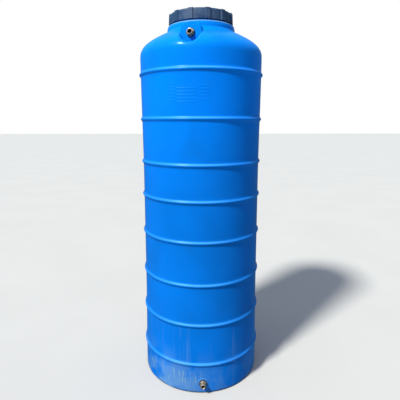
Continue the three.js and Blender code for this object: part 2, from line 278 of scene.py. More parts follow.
def helix_ridge(
    root, crest, foot_width, crest_width, lead, turns, bottom, start=0.0, fade=0.12, per_turn=96
):
    """A bar of four corners wound round the Z axis, which sinks into its wall at both ends."""
    steps = int(per_turn * turns)
    buried = root - math.copysign(RIDGE_ROOT, crest - root)
    wide, narrow = foot_width / 2, crest_width / 2
    points = []
    for i in range(steps + 1):
        along = i / steps
        share = float(smoothstep(min(along, 1 - along), 0, fade))
        top = buried + (crest - buried) * (RIDGE_END_RISE + (1 - RIDGE_END_RISE) * share)
        angle = FULL_TURN * (start + along * turns)
        centre = bottom + lead * turns * along
        section = [(buried, -wide), (top, -narrow), (top, narrow), (buried, wide)]
        for radius, offset in section:
            points.append((radius * math.cos(angle), radius * math.sin(angle), centre + offset))
    return np.array(points), bar_faces(steps + 1, len(section))


def place_outward(piece, turn, height, distance):
    """Turns a piece made round the Z axis so that its +Z points out of the tank at that turn."""
    outward = Vector((math.sin(math.radians(turn)), -math.cos(math.radians(turn)), 0))
    piece.rotation_euler = (math.pi / 2, 0, math.radians(turn))
    piece.location = outward * distance * MM + Vector((0, 0, height * MM))
    bpy.context.view_layer.update()
    piece.data.transform(piece.matrix_world)
    piece.rotation_euler = (0, 0, 0)
    piece.location = (0, 0, 0)


# ---------- materials ----------


def add_node(tree, kind, inputs=None, **settings):
    """Adds a node; each of its inputs is given a value or joined to a socket."""
    made = tree.nodes.new(kind)
    for key, value in settings.items():
        setattr(made, key, value)
    for key, value in (inputs or {}).items():
        if isinstance(value, bpy.types.NodeSocket):
            tree.links.new(value, made.inputs[key])
        else:
            made.inputs[key].default_value = value
    return made


class Shader:
    """A material with a Principled shader, and short ways to add and join nodes."""

    def __init__(self, name, **values):
        self.material = bpy.data.materials.new(name)
        self.material.use_nodes = True
        self.tree = self.material.node_tree
        self.surface = self.tree.nodes["Principled BSDF"]
        for key, value in values.items():
            self.surface.inputs[key.replace("_", " ")].default_value = value
        self.place = self.node("ShaderNodeTexCoord").outputs["Object"]

    def node(self, kind, inputs=None, **settings):
        return add_node(self.tree, kind, inputs, **settings)

    def noise(self, scale, detail=3.0, roughness=0.55, stretch=(1, 1, 1), offset=(0, 0, 0)):
        spread = {"Vector": self.place, "Scale": stretch, "Location": offset}
        place = self.node("ShaderNodeMapping", spread).outputs[0]
        settings = {"Vector": place, "Scale": scale, "Detail": detail, "Roughness": roughness}
        return self.node("ShaderNodeTexNoise", settings).outputs["Fac"]

    def remap(self, value, low, high, to_low=0.0, to_high=1.0):
        settings = {0: value, 1: low, 2: high, 3: to_low, 4: to_high}
        return self.node("ShaderNodeMapRange", settings, interpolation_type="SMOOTHSTEP").outputs[0]

    def math(self, operation, first, second):
        return self.node("ShaderNodeMath", {0: first, 1: second}, operation=operation).outputs[0]

    def times(self, first, *others):
        """The product of two or more values."""
        for other in others:
            first = self.math("MULTIPLY", first, other)
        return first

    def most(self, first, second):
        """The larger of two values."""
        return self.math("MAXIMUM", first, second)

    def mix(self, factor, first, second):
        settings = {"Factor": factor, 6: first, 7: second}
        return self.node("ShaderNodeMix", settings, data_type="RGBA").outputs[2]

    def bump(self, layers):
        """layers are (height socket, strength, distance in metres)."""
        normal = None
        for value, strength, distance in layers:
            settings = {"Height": value, "Strength": strength, "Distance": distance}
            if normal:
                settings["Normal"] = normal
            normal = self.node("ShaderNodeBump", settings).outputs[0]
        self.set("Normal", normal)

    def set(self, key, socket):
        self.tree.links.new(socket, self.surface.inputs[key])


# Materials read a mesh's own coordinates, so heights and places in them are in metres.


def blue_with_painted_light(shader, height):
    """Blue plastic with soft clouds, fine specks and darker smudges, and painted light: paler towards
    the top, and paler again on the shoulder.
    """
    cloud = shader.remap(shader.noise(3.5, 2.0), 0.35, 0.65, 0.0, 0.24)
    # Painted light: the wall is painted paler higher up and darker lower down, standing in for how the
    # light falls along it.
    painted_upper_light = shader.remap(height, 0.88, 1.5, 0.0, 0.76)
    speckle = shader.remap(shader.noise(420, 2.0), 0.3, 0.7, 0.0, 0.12)
    # Painted light: the shoulder, which faces up towards the light, is painted paler.
    painted_shoulder_light = shader.remap(height, 1.6, 1.74, 0.0, 0.3)
    marks = shader.noise(4.5, 2.0, 0.5, stretch=(1, 1, 0.7), offset=(2, 5, 3))
    smudge = shader.remap(marks, 0.56, 0.72, 0.0, 0.18)
    deep, bright = (0.0, 0.084, 0.36, 1), (0.0, 0.13, 0.58, 1)
    colour = shader.mix(shader.math("ADD", cloud, painted_upper_light), deep, bright)
    colour = shader.mix(speckle, colour, (0.01, 0.16, 0.55, 1))
    colour = shader.mix(painted_shoulder_light, colour, (0.0, 0.19, 0.6, 1))
    return shader.mix(smudge, colour, (0.002, 0.07, 0.22, 1))


def paint_rib_highlight(shader, height, across):
    """A painted highlight: how far upward faces below the shoulder, which are the ribs' tops, are
    painted pale, fading towards both sides.
    """
    facing = shader.node("ShaderNodeNewGeometry").outputs["Normal"]
    upward = shader.node("ShaderNodeSeparateXYZ", {0: facing}).outputs["Z"]
    below_shoulder = shader.remap(height, 1.6, 1.62, 0.26, 0.0)
    less_to_the_right = shader.remap(across, 0.0, 0.2, 1.0, 0.3)
    less_to_the_left = shader.remap(across, -0.27, -0.08, 0.3, 1.0)
    return shader.times(
        shader.remap(upward, 0.25, 0.6), below_shoulder, less_to_the_right, less_to_the_left
    )


def dust_and_painted_collar_highlight(shader, height, across):
    """Streaks and a film near the foot, long faint trails up the wall, and a painted highlight along the
    collar's rounded top edge.
    """
    weather_side = shader.remap(across, -0.12, 0.05, 1.0, 0.3)
    patches = shader.remap(shader.noise(7.5, 3.0, 0.6, offset=(1, 7, 0)), 0.38, 0.58)
    patches = shader.times(patches, weather_side)
    runs = shader.noise(150, 3.0, 0.6, stretch=(1, 1, 0.08))
    low_band = shader.times(
        shader.remap(height, 0.015, 0.06), shader.remap(height, 0.09, 0.15, 1.0, 0.0)
    )
    streaks = shader.times(shader.remap(runs, 0.5, 0.66), patches, low_band)
    long_runs = shader.noise(55, 4.0, 0.65, stretch=(1, 1, 0.05), offset=(3, 1, 0))
    high_band = shader.remap(height, 0.12, 0.5, 0.16, 0.0)
    trails = shader.times(shader.remap(long_runs, 0.54, 0.72), high_band)
    splash = shader.times(shader.most(streaks, trails), 0.55)
    film = shader.times(shader.remap(height, 0.0, 0.26, 0.27, 0.0), patches)
    # Painted highlight: a pale band on the collar's rounded top edge, where the light catches it.
    ledge = shader.times(
        shader.remap(height, 1.8065, 1.8085), shader.remap(height, 1.8125, 1.8132, 0.4, 0.0)
    )
    return shader.most(shader.most(splash, film), ledge)


def polyethylene():
    shader = Shader("blue_polyethylene", IOR=1.15, Specular_Tint=(0.5, 0.9, 1.0, 1))
    parts = shader.node("ShaderNodeSeparateXYZ", {0: shader.place})
    height, across = parts.outputs["Z"], parts.outputs["X"]
    painted_rib_highlight = paint_rib_highlight(shader, height, across)
    dirt_and_painted_highlight = dust_and_painted_collar_highlight(shader, height, across)
    # Painted shade: the bottom 16 mm of the foot is darkened in patches, standing in for the shade where
    # it meets the floor.
    foot_shade_band = shader.remap(height, 0.004, 0.016, 0.75, 0.0)
    painted_foot_shade = shader.times(foot_shade_band, shader.remap(shader.noise(18), 0.3, 0.55))
    # The ribs' tops are mixed towards pale cyan: a painted highlight.
    colour = shader.mix(painted_rib_highlight, blue_with_painted_light(shader, height), (0.1, 0.42, 0.72, 1))
    # Dust near the foot and up the wall, and the collar's painted highlight, mixed in as pale
    # grey-green.
    colour = shader.mix(dirt_and_painted_highlight, colour, (0.22, 0.32, 0.2, 1))
    shader.set("Base Color", shader.mix(painted_foot_shade, colour, (0.03, 0.045, 0.07, 1)))
    rough = shader.remap(shader.noise(9, 3.0), 0.3, 0.7, 0.18, 0.24)
    dull = shader.math("ADD", shader.times(dirt_and_painted_highlight, 0.4), shader.times(painted_rib_highlight, 0.6))
    shader.set("Roughness", shader.math("ADD", rough, dull))
    peel = shader.noise(320, 2.0)
    waves = shader.noise(7, 1.5, 0.4)
    scratches = shader.noise(60, 4.0, 0.7, stretch=(1, 1, 0.12))
    shader.bump([(waves, 0.25, 0.004), (scratches, 0.08, 0.0006), (peel, 0.12, 0.0004)])
    return shader.material


def lid_plastic():
    shader = Shader("black_plastic", Specular_IOR_Level=0.18)
    dusty = shader.remap(shader.noise(22, 5.0, 0.65), 0.38, 0.68)
    colour = shader.mix(dusty, (0.013, 0.037, 0.088, 1), (0.033, 0.062, 0.122, 1))
    grain = shader.noise(500, 2.0)
    colour = shader.mix(shader.remap(grain, 0.35, 0.7, 0.0, 0.3), colour, (0.028, 0.045, 0.072, 1))
    shader.set("Base Color", colour)
    shader.set("Roughness", shader.remap(dusty, 0.0, 1.0, 0.38, 0.62))
    shader.bump([(shader.noise(14, 2.0), 0.15, 0.002), (grain, 0.18, 0.0003)])
    return shader.material


def rubber():
    shader = Shader("black_rubber", Specular_IOR_Level=0.3)
    bloom = shader.remap(shader.noise(70, 4.0), 0.35, 0.7)
    shader.set("Base Color", shader.mix(bloom, (0.012, 0.012, 0.013, 1), (0.04, 0.04, 0.042, 1)))
    shader.set("Roughness", shader.remap(bloom, 0, 1, 0.7, 0.9))
    shader.bump([(shader.noise(900, 3.0), 0.3, 0.0003)])
    return shader.material


def nylon():
    shader = Shader("white_nylon", Specular_IOR_Level=0.4)
    cloud = shader.remap(shader.noise(60, 3.0), 0.3, 0.7)
    shader.set("Base Color", shader.mix(cloud, (0.55, 0.53, 0.46, 1), (0.72, 0.71, 0.65, 1)))
    shader.set("Roughness", shader.remap(cloud, 0, 1, 0.35, 0.5))
    shader.bump([(shader.noise(700, 2.0), 0.15, 0.0002)])
    return shader.material


def brass():
    shader = Shader("brass", Metallic=0.85)
    tarnish = shader.remap(shader.noise(110, 5.0, 0.65), 0.42, 0.7)
    colour = shader.mix(tarnish, (0.44, 0.38, 0.3, 1), (0.2, 0.14, 0.09, 1))
    spots = shader.remap(shader.noise(340, 3.0), 0.6, 0.75)
    shader.set("Base Color", shader.mix(spots, colour, (0.36, 0.34, 0.28, 1)))
    shader.set("Roughness", shader.remap(tarnish, 0, 1, 0.42, 0.62))
    turning = shader.noise(900, 2.0, stretch=(1, 0.15, 1))
    shader.bump([(turning, 0.12, 0.0002)])
    return shader.material


def steel_gauze():
    shader = Shader("steel_mesh", Metallic=1.0)
    stain = shader.remap(shader.noise(300, 3.0), 0.4, 0.7)
    shader.set("Base Color", shader.mix(stain, (0.55, 0.56, 0.57, 1), (0.35, 0.34, 0.32, 1)))
    shader.set("Roughness", shader.remap(stain, 0, 1, 0.3, 0.5))
    shader.bump([(shader.noise(2500, 2.0), 0.3, 0.0001)])
    return shader.material


FINISHES = {
    "blue_polyethylene": polyethylene(),
    "black_plastic": lid_plastic(),
    "black_rubber": rubber(),
    "white_nylon": nylon(),
    "brass": brass(),
    "steel_mesh": steel_gauze(),
}


def stand_for(piece, body, slot, *nodes):
    """The piece rides on the body and replaces the CAD nodes, which it hides; slot is not used."""
    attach(piece, body)
    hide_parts(*nodes)


def turned_piece(name, outline, body, slot, node, place=None, **shape):
    """A revolved piece that stands for a CAD node, set on the tank's side if it has a place."""
    piece = revolve(name, outline, FINISHES[slot], **shape)
    if place:
        place_outward(piece, *place)
    stand_for(piece, body, slot, node)


# ---------- tank ----------


def wall_radius(height):
    """The wall's radius between its ribs: it flares a little at the foot and the shoulder."""
    foot = 1 - smoothstep(height, 0, FOOT_FLARE_TOP)
    shoulder = smoothstep(height, SHOULDER_FLARE_START, SHOULDER_HEIGHT)
    return WAIST_RADIUS + FOOT_FLARE * foot + SHOULDER_FLARE * shoulder


def bezier(controls, share):
    points = [np.array(c, float) for c in controls]
    while len(points) > 1:
        points = [(1 - share) * a + share * b for a, b in zip(points, points[1:])]
    return points[0]


def offset_curve(controls, shares, inset):
    made = []
    for share in shares:
        ahead = bezier(controls, min(share + 1e-3, 1)) - bezier(controls, max(share - 1e-3, 0))
        normal = np.array([ahead[1], -ahead[0]]) / np.linalg.norm(ahead)
        made.append(bezier(controls, share) - normal * inset)
    return made


def rib_rows(height, inset):
    """A bead with sloping flanks and a round nose, and a small hollow fillet above and below it."""
    half = RIB_WIDTH / 2
    rows = [(-half - RIB_FILLET, 0.0), (-half - 1, 0.5)]
    for share in (-0.8, -0.6, -0.42, -0.26, -0.12, 0, 0.12, 0.26, 0.42, 0.6, 0.8):
        fall = (math.hypot(share, RIB_NOSE) - RIB_NOSE) / (math.hypot(1, RIB_NOSE) - RIB_NOSE)
        rows.append((half * share, RIB_RISE * (1 - fall)))
    rows += [(half + 1, 0.5), (half + RIB_FILLET, 0.0)]
    return [np.array([wall_radius(height + up) + out - inset, height + up]) for up, out in rows]


def wall_rows(inset):
    """Rows from the foot's corner to the top of the straight wall."""
    seat_rows = [24, 31, 38, 45, 52, 58, 65, 72, 79, 86, 95, 112]
    rows = [np.array([wall_radius(z) - inset, z]) for z in seat_rows]
    previous = None
    for rib in RIB_HEIGHTS:
        if previous is not None:
            spare = np.linspace(previous + RIB_WIDTH, rib - RIB_WIDTH, 6)
            rows += [np.array([wall_radius(z) - inset, z]) for z in spare]
        rows += rib_rows(rib, inset)
        previous = rib
    spare = np.linspace(previous + RIB_WIDTH, SHOULDER_HEIGHT - 8, 4)
    return rows + [np.array([wall_radius(z) - inset, z]) for z in spare]


def foot_rows(inset):
    """The slightly hollowed underside and the rounded corner round it."""
    centre = float(wall_radius(0)) - FOOT_CORNER_RADIUS
    corner = FOOT_CORNER_RADIUS - inset
    rise = FOOT_HOLLOW_RISE
    rows = [np.array([r, rise + inset]) for r in (0, 60, 130, 200, 240)]
    rows += [np.array([centre - 24, inset + rise * 0.5]), np.array([centre - 12, inset])]
    for angle in np.radians(np.linspace(0, 90, 8)):
        reach, drop = corner * math.sin(angle), corner * math.cos(angle)
        rows.append(np.array([centre + reach, FOOT_CORNER_RADIUS - drop]))
    return rows


def shoulder_rows(inset):
    """The dome, and the hollow throat that turns up from it into the collar."""
    top = float(wall_radius(SHOULDER_HEIGHT))
    dome_end = (190, 1771)
    dome = [(top, SHOULDER_HEIGHT), (top, SHOULDER_HEIGHT + 48), (268, 1732), dome_end]
    corner = (COLLAR_RADIUS, 1780.5)
    throat = [dome_end, corner, corner, (COLLAR_RADIUS, COLLAR_START)]
    rows = offset_curve(dome, np.linspace(0, 1, 25), inset)
    return rows + offset_curve(throat, np.linspace(0, 1, 10)[1:], inset)


def neck_rows(inset):
    """The collar, its flat top that stops the lid, and the plain neck up to the rim."""
    shelf = COLLAR_TOP - inset
    neck = NECK_RADIUS - inset
    rim = neck + (1.4 if inset else -1.4)
    outline = [
        (COLLAR_RADIUS - inset - 1.2, COLLAR_START + 0.3 * (shelf - COLLAR_START)),
        (COLLAR_EDGE_RADIUS - inset + 0.6, COLLAR_START + 0.55 * (shelf - COLLAR_START)),
        (COLLAR_EDGE_RADIUS - inset, shelf, 2 if inset else 6.5),
        (neck, shelf, 3),
        (neck, NECK_TOP, 1.4),
        (rim, NECK_TOP),
    ]
    return soften(outline, steps=4)


def tank_rows(inset):
    return foot_rows(inset) + wall_rows(inset) + shoulder_rows(inset) + neck_rows(inset)


class Boss:
    """A round flat face on the tank's side: proud where the tank falls away, let in elsewhere.

    cuts round its rim, its foot and its sunk lip; reach is in columns, then millimetres down and up.
    """

    def __init__(self, turn, height, distance, radius, hole, drafts, cuts, reach):
        self.turn = math.radians(turn)
        self.height = height
        self.distance = distance
        self.radius = radius
        self.hole = hole
        self.proud_draft, self.sunk_draft = drafts
        self.rim_cut, self.foot_cut, self.lip_cut = cuts
        self.reach = reach
        self.outward = np.array([math.sin(self.turn), -math.cos(self.turn), 0])
        self.side = np.array([math.cos(self.turn), math.sin(self.turn), 0])

    def flat_place(self, point):
        return point @ self.side, point[2] - self.height

    def lift(self, u, w, depth):
        return self.side * u + self.outward * depth + np.array([0, 0, self.height + w])

    def section(self, angle, depth_at):
        """The boss's profile in one direction from its centre, as (distance out, depth) points."""
        face, radius = self.distance, self.radius

        def tank(reach):
            return depth_at(reach * math.cos(angle), reach * math.sin(angle))

        draft = self.proud_draft if tank(radius) < face else self.sunk_draft
        slope = math.tan(math.radians(draft))
        # The drafted edge meets the tank between these two distances, found by halving.
        low, high = radius, radius + 40
        for _ in range(40):
            middle = (low + high) / 2
            if abs(tank(middle) - face) * slope > middle - radius:
                low = middle
            else:
                high = middle
        foot = (low + high) / 2
        sunk = float(smoothstep(tank(radius) - face, 0, 14))
        foot_cut = self.foot_cut * (1 - sunk) + self.lip_cut * sunk
        rim = np.array([radius, face])
        base = np.array([foot, tank(foot)])
        wall = base - rim
        length = max(np.linalg.norm(wall), 1e-9)
        near = rim + wall * min(self.rim_cut / length, 1 / 3)
        far = base - wall * min(foot_cut / length, 1 / 3)
        after = [foot + foot_cut, foot + 1.8 * foot_cut]
        controls = np.array([
            (self.hole + 1.0, face),
            (radius - self.rim_cut, face),
            rim,
            near,
            far,
            base,
            (after[0], tank(after[0])),
            (after[1], tank(after[1])),
        ])
        return spline(controls, [3, 5, 3, 3, 5, 3])


def spline(controls, samples):
    """A quadratic B-spline through the middles of a control polygon's inner sides."""
    made = [controls[0]]
    for i, count in enumerate(samples):
        before, corner, after = controls[i : i + 3]
        start = controls[0] if i == 0 else (before + corner) / 2
        end = (corner + after) / 2
        for t in np.arange(count) / count:
            made.append((1 - t) ** 2 * start + 2 * t * (1 - t) * corner + t * t * end)
    return made[1:] + [(controls[-2] + controls[-1]) / 2]


def window_loop(low, high, first, last, columns):
    """The grid's vertices round a window between two rows and two columns, in order."""
    loop = [low * columns + j % columns for j in range(first, last)]
    loop += [i * columns + last % columns for i in range(low, high)]
    loop += [high * columns + j % columns for j in range(last, first, -1)]
    return loop + [i * columns + first % columns for i in range(high, low, -1)]


def boss_spoke(boss, corner, depth_at):
    """Points from the boss's hole over its face and edge, and along the tank to a grid corner."""
    u, w = boss.flat_place(corner)
    angle = math.atan2(w, u)
    along = np.array([math.cos(angle), math.sin(angle)])
    profile = boss.section(angle, depth_at)
    edge = profile[-1][0] * along
    spoke = [boss.lift(*(boss.hole * along), boss.distance)]
    spoke += [boss.lift(*(reach * along), depth) for reach, depth in profile]
    for t in np.arange(1, BLEND_RINGS) / BLEND_RINGS:
        side, up = edge * (1 - t) + np.array([u, w]) * t
        spoke.append(boss.lift(side, up, depth_at(side, up)))
    return spoke


def skin(inset, bosses):
    """One side of the tank's wall: its grid with a patch of rings at each boss, and the open edges."""
    rows = tank_rows(inset)
    columns = TANK_COLUMNS
    angles = math.radians(PAD_TURN) + np.arange(columns) * FULL_TURN / columns
    points = list(np.concatenate([columns_at(angles, r, z) for r, z in rows]))
    faces = ring_faces(len(rows), columns, False)
    # Both sides of the wall take their windows' rows from the outside, so their edges match.
    outer_heights = [row[1] for row in tank_rows(0)]
    lowest, highest = FOOT_CORNER_RADIUS, COLLAR_TOP - WALL - 1
    usable = [i for i, z in enumerate(outer_heights) if lowest <= z <= highest]
    table_r, table_z = np.array([row for row in rows if lowest <= row[1] <= highest]).T
    removed = set()
    edges = []
    for boss in bosses:

        def depth_at(u, w):
            radius = np.interp(boss.height + w, table_z, table_r)
            return math.sqrt(max(radius ** 2 - u * u, 0))

        middle = round((boss.turn - angles[0]) / FULL_TURN * columns)
        first, last = middle - boss.reach[0], middle + boss.reach[0]
        low = min(i for i in usable if outer_heights[i] >= boss.height - boss.reach[1])
        high = max(i for i in usable if outer_heights[i] <= boss.height + boss.reach[2])
        for i in range(low, high):
            removed.update(i * columns + j % columns for j in range(first, last))
        outer = window_loop(low, high, first, last, columns)
        spokes = [boss_spoke(boss, points[vertex], depth_at) for vertex in outer]
        count = len(outer)
        for step in range(len(spokes[0]) - 1, -1, -1):
            inner = list(range(len(points), len(points) + count))
            points += [spoke[step] for spoke in spokes]
            for k in range(count):
                m = (k + 1) % count
                faces.append((outer[k], outer[m], inner[m], inner[k]))
            outer = inner
        edges.append(outer)
    kept = [face for number, face in enumerate(faces) if number not in removed]
    edges.append(list(range((len(rows) - 1) * columns, len(rows) * columns)))
    return points, kept, edges


def tank_bosses(inset, outlet_inset):
    pad = Boss(
        PAD_TURN, PAD_HEIGHT, PAD_DISTANCE - inset, PAD_RADIUS - inset, PIPE_HOLE_RADIUS,
        drafts=(PAD_DRAFT, RECESS_DRAFT), cuts=(4, 5, 11), reach=(9, 84, 74),
    )
    seat = Boss(
        0, OUTLET_HEIGHT, OUTLET_DISTANCE - outlet_inset, OUTLET_SEAT_RADIUS, PIPE_HOLE_RADIUS,
        drafts=(SEAT_DRAFT, SEAT_DRAFT), cuts=(1.5, 2, 2), reach=(4, 36, 42),
    )
    return [pad, seat]


def relief_bar(turn, height, width):
    """A plain raised bar that follows the wall, with rounded edges, sunk a little into it."""
    tall = RELIEF_BAR_HEIGHT
    side_edge, end_edge = RELIEF_EDGE / width, RELIEF_EDGE / tall
    middle = np.linspace(-0.5, 0.5, max(4, int(width / 6)) + 1)[1:-1]
    across = np.concatenate([[-0.5, -0.5 + side_edge], middle, [0.5 - side_edge, 0.5]]) * width
    across = np.unique(across)
    up = np.array([-0.5, -0.5 + end_edge, 0, 0.5 - end_edge, 0.5]) * tall
    points = []
    for under in (False, True):
        for w in up:
            for u in across:
                on_edge = abs(u) == width / 2 or abs(w) == tall / 2
                lift = -RELIEF_SUNK if on_edge or under else RELIEF_RISE
                radius = wall_radius(height + w) + lift - (RELIEF_RISE if under else 0)
                angle = math.radians(turn) + u / radius
                points.append((radius * math.sin(angle), -radius * math.cos(angle), height + w))
    columns, rows = len(across), len(up)
    layer = columns * rows
    faces = []
    for i in range(rows - 1):
        for j in range(columns - 1):
            a, b = i * columns + j, (i + 1) * columns + j
            faces.append((a, a + 1, b + 1, b))
            faces.append((layer + b, layer + b + 1, layer + a + 1, layer + a))
    border = window_loop(0, rows - 1, 0, columns - 1, columns)
    for k, a in enumerate(border):
        b = border[(k + 1) % len(border)]
        faces.append((a, layer + a, layer + b, b))
    return np.array(points), faces


def relief_bars():
    """A field of plain moulded bars on the wall below the shoulder, in stacks."""
    radius = float(wall_radius(RELIEF_HEIGHT))
    bars = []
    for side, lift, count, width in RELIEF_STACKS:
        turn = RELIEF_TURN + math.degrees(side / radius)
        for k in range(count):
            bars.append(relief_bar(turn, RELIEF_HEIGHT + lift - RELIEF_PITCH * k, width))
    return bars


def pad_pips():
    """A ring of small moulded pips on the pad's face, round the inlet."""
    pad = tank_bosses(0, 0)[0]
    columns = PIP_COLUMNS
    profile = [(0.9, -1.0), (1.0, 0.0), (0.86, 0.42), (0.5, 0.75), (0.0, 0.85)]
    pips = []
    for k in range(PIP_COUNT):
        turn = (k + 0.5) * FULL_TURN / PIP_COUNT
        middle = (PIP_CIRCLE * math.cos(turn), PIP_CIRCLE * math.sin(turn))
        points = [pad.lift(*middle, PAD_DISTANCE - 1.0)]
        for share, lift in profile:
            for j in range(columns):
                angle = j * FULL_TURN / columns
                u = middle[0] + PIP_RADIUS * share * math.cos(angle)
                w = middle[1] + PIP_RADIUS * share * math.sin(angle)
                points.append(pad.lift(u, w, PAD_DISTANCE + lift))
        faces = ring_faces(len(profile), columns, False, first=1)
        faces += [(0, 1 + (j + 1) % columns, 1 + j) for j in range(columns)]
        pips.append((np.array(points), faces))
    return pips


def screw_thread(root, crest, bottom):
    return [
        helix_ridge(
            root, crest, THREAD_FOOT_WIDTH, THREAD_CREST_WIDTH, THREAD_LEAD, THREAD_TURNS, bottom, start
        )
        for start in THREAD_STARTS
    ]


def tank_shell():
    outer_points, outer_faces, outer_edges = skin(0, tank_bosses(0, 0))
    inner_points, inner_faces, inner_edges = skin(WALL, tank_bosses(WALL, OUTLET_WALL))
    shift = len(outer_points)
    faces = outer_faces + [tuple(v + shift for v in reversed(face)) for face in inner_faces]
    for outer, inner in zip(outer_edges, inner_edges):
        for k in range(len(outer)):
            m = (k + 1) % len(outer)
            faces.append((outer[k], outer[m], inner[m] + shift, inner[k] + shift))
    points = np.array(outer_points + inner_points)
    threads = screw_thread(NECK_RADIUS, NECK_RADIUS + THREAD_RISE, THREAD_BOTTOM)
    points, faces = join(points, faces, threads + relief_bars() + pad_pips())
    shell = make_object("tank_body", points, faces, FINISHES["blue_polyethylene"], sharp=50)
    stand_for(shell, "tank", "blue_polyethylene", "tank_shell")


tank_shell()

# ---------- lid ----------


def lid_angles():
    """Columns bunched at each lug's corners, so that its sides stay straight and crisp."""
    face_corner = math.atan2(LUG_FACE_WIDTH / 2, LUG_FACE_DISTANCE)
    foot_corner = face_corner + math.radians(1.1)
    near = [-0.012, -0.004, 0, 0.004, 0.012]
    half = [face_corner + d * 0.6 for d in near] + [foot_corner + d * 0.6 for d in near]
    half = sorted(half + [face_corner / 2, math.radians(7.5), math.radians(10), math.radians(12.5)])
    one_lug = sorted([-a for a in half] + [0] + half + [math.radians(15)])
    pitch = FULL_TURN / LUG_COUNT
    return np.array([math.radians(LUG_TURN) + k * pitch + a for k in range(LUG_COUNT) for a in one_lug])


def lid_radius(angles, skirt, face):
    """The lid's plan: a round skirt with flat-faced lugs whose sides lean in."""
    pitch = FULL_TURN / LUG_COUNT
    away = np.abs((angles - math.radians(LUG_TURN) + pitch / 2) % pitch - pitch / 2)
    front = face / np.cos(away)
    reach = LUG_FACE_WIDTH / 2 + LUG_SIDE_SLOPE * face
    flank = reach / (np.sin(away) + LUG_SIDE_SLOPE * np.cos(away))
    lug = np.minimum(front, flank)
    corner = 1.2
    lug = lug - corner * np.exp(-np.abs(front - flank) / corner) * 0.35
    return np.maximum(lug, skirt)


def screw_lid():
    angles = lid_angles()
    columns = len(angles)
    plate_high = LID_TOP - LID_PLATE_DROP
    plate_low = plate_high - LID_PLATE
    rings = []

    def ring(radii, height):
        rings.append(columns_at(angles, radii, height))

    def outside(height, inward=0.0):
        lean = LID_LEAN * (height - LID_BOTTOM) / (LID_TOP - LID_BOTTOM)
        off = lean + inward
        return lid_radius(angles, LID_SKIRT_RADIUS - off, LUG_FACE_DISTANCE - off)

    def lipped(height, inward=0.0):
        return np.maximum(outside(height, inward), LID_LIP_RADIUS - inward)

    ring(LID_BORE_RADIUS + 1.2, LID_BOTTOM)
    ring(lipped(LID_BOTTOM, 1.0), LID_BOTTOM)
    ring(lipped(LID_BOTTOM, 0.3), LID_BOTTOM + 0.3)
    ring(lipped(LID_BOTTOM), LID_BOTTOM + 1)
    ring(lipped(LID_BOTTOM + 3.4), LID_BOTTOM + 3.4)
    ring(lipped(LID_BOTTOM + 4.2, 0.3), LID_BOTTOM + 4.2)
    ring(outside(LID_BOTTOM + 5), LID_BOTTOM + 5)
    for height in np.linspace(LID_BOTTOM + 6, LID_TOP - 5.5, 8):
        ring(outside(height), height)
    proud = np.clip((outside(LID_TOP) - (LID_SKIRT_RADIUS - LID_LEAN)) / 4, 0, 1)
    edge = 4.6 - 3.2 * proud
    for angle in np.radians([0, 18, 36, 54, 72, 90]):
        ring(outside(LID_TOP) - edge * (1 - math.cos(angle)), LID_TOP - edge * (1 - math.sin(angle)))
    rim = LID_SKIRT_RADIUS - LID_LEAN - LID_RIM_WIDTH
    step = [(rim + 3, LID_TOP), (rim, LID_TOP, 0.6), (rim, plate_high, 0.6), (rim - 3, plate_high)]
    for radius, height in soften(step):
        ring(radius, height)
    for radius in (120, 90, 60, 36):
        ring(radius, plate_high)
    edge = LID_HOLE_RADIUS
    hole = [(33, plate_high), (edge, plate_high, 0.5), (edge, plate_low, 0.5), (22, plate_low)]
    for radius, height in soften(hole):
        ring(radius, height)
    for radius in (60, 100, 130):
        ring(radius, plate_low)
    bore = [
        (LID_BORE_RADIUS - 8, plate_low),
        (LID_BORE_RADIUS, plate_low, 2),
        (LID_BORE_RADIUS, LID_BOTTOM, 1.2),
        (LID_BORE_RADIUS + 1.2, LID_BOTTOM),
    ]
    for radius, height in soften(bore)[:-1]:
        ring(radius, height)
    # The lid's ridges lie midway between the neck's.
    crest = LID_BORE_RADIUS - THREAD_RISE - LID_THREAD_EXTRA
    extras = screw_thread(LID_BORE_RADIUS, crest, THREAD_BOTTOM + THREAD_LEAD / 4)
    extras += [plate_rib(k, rim - 1, plate_high) for k in range(LUG_COUNT)]
    faces = ring_faces(len(rings), columns, True)
    points, faces = join(np.concatenate(rings), faces, extras)
    lid = make_object("lid_body", points, faces, FINISHES["black_plastic"], sharp=35)
    stand_for(lid, "lid", "black_plastic", "screw_lid")


def plate_rib(number, outer, floor):
    """A low rounded bar on the lid's plate, from near the breather to the rim."""
    turn = math.radians(LUG_TURN) + number * FULL_TURN / LUG_COUNT
    outward = np.array([math.sin(turn), -math.cos(turn)])
    side = np.array([math.cos(turn), math.sin(turn)])
    section = [(-2.4, -0.8), (-2.4, 0.3), (-1.5, 0.95), (0, 1.15), (1.5, 0.95), (2.4, 0.3), (2.4, -0.8)]
    points = []
    for reach, shrink in ((40, 0.3), (43, 1), (90, 1), (outer, 1)):
        for across, up in section:
            flat = outward * reach + side * across * shrink
            points.append((flat[0], flat[1], floor + (up if up < 0 else up * shrink)))
    return np.array(points), bar_faces(len(points) // len(section), len(section))


def lid_gasket():
    low, high = box_mm("lid_gasket")
    outline = soften(flat_ring(GASKET_BORE_RADIUS, high.x, low.z, high.z, 0.9), closed=True)
    turned_piece("lid_seal_ring", outline, "lid_seal", "black_rubber", "lid_gasket")


screw_lid()
lid_gasket()

# ---------- breather ----------


def hexagon(across_flats):
    """Cuts any ring of its flats' width or more down to a hexagon with a corner at angle 0."""
    cut_from = across_flats / 2 * HEX_CUT_SHARE

    def reshape(radius, angles):
        side = FULL_TURN / 6
        flat = across_flats / 2 / np.cos(angles % side - side / 2)
        return np.where(radius > cut_from, np.minimum(radius, flat), radius)

    return reshape


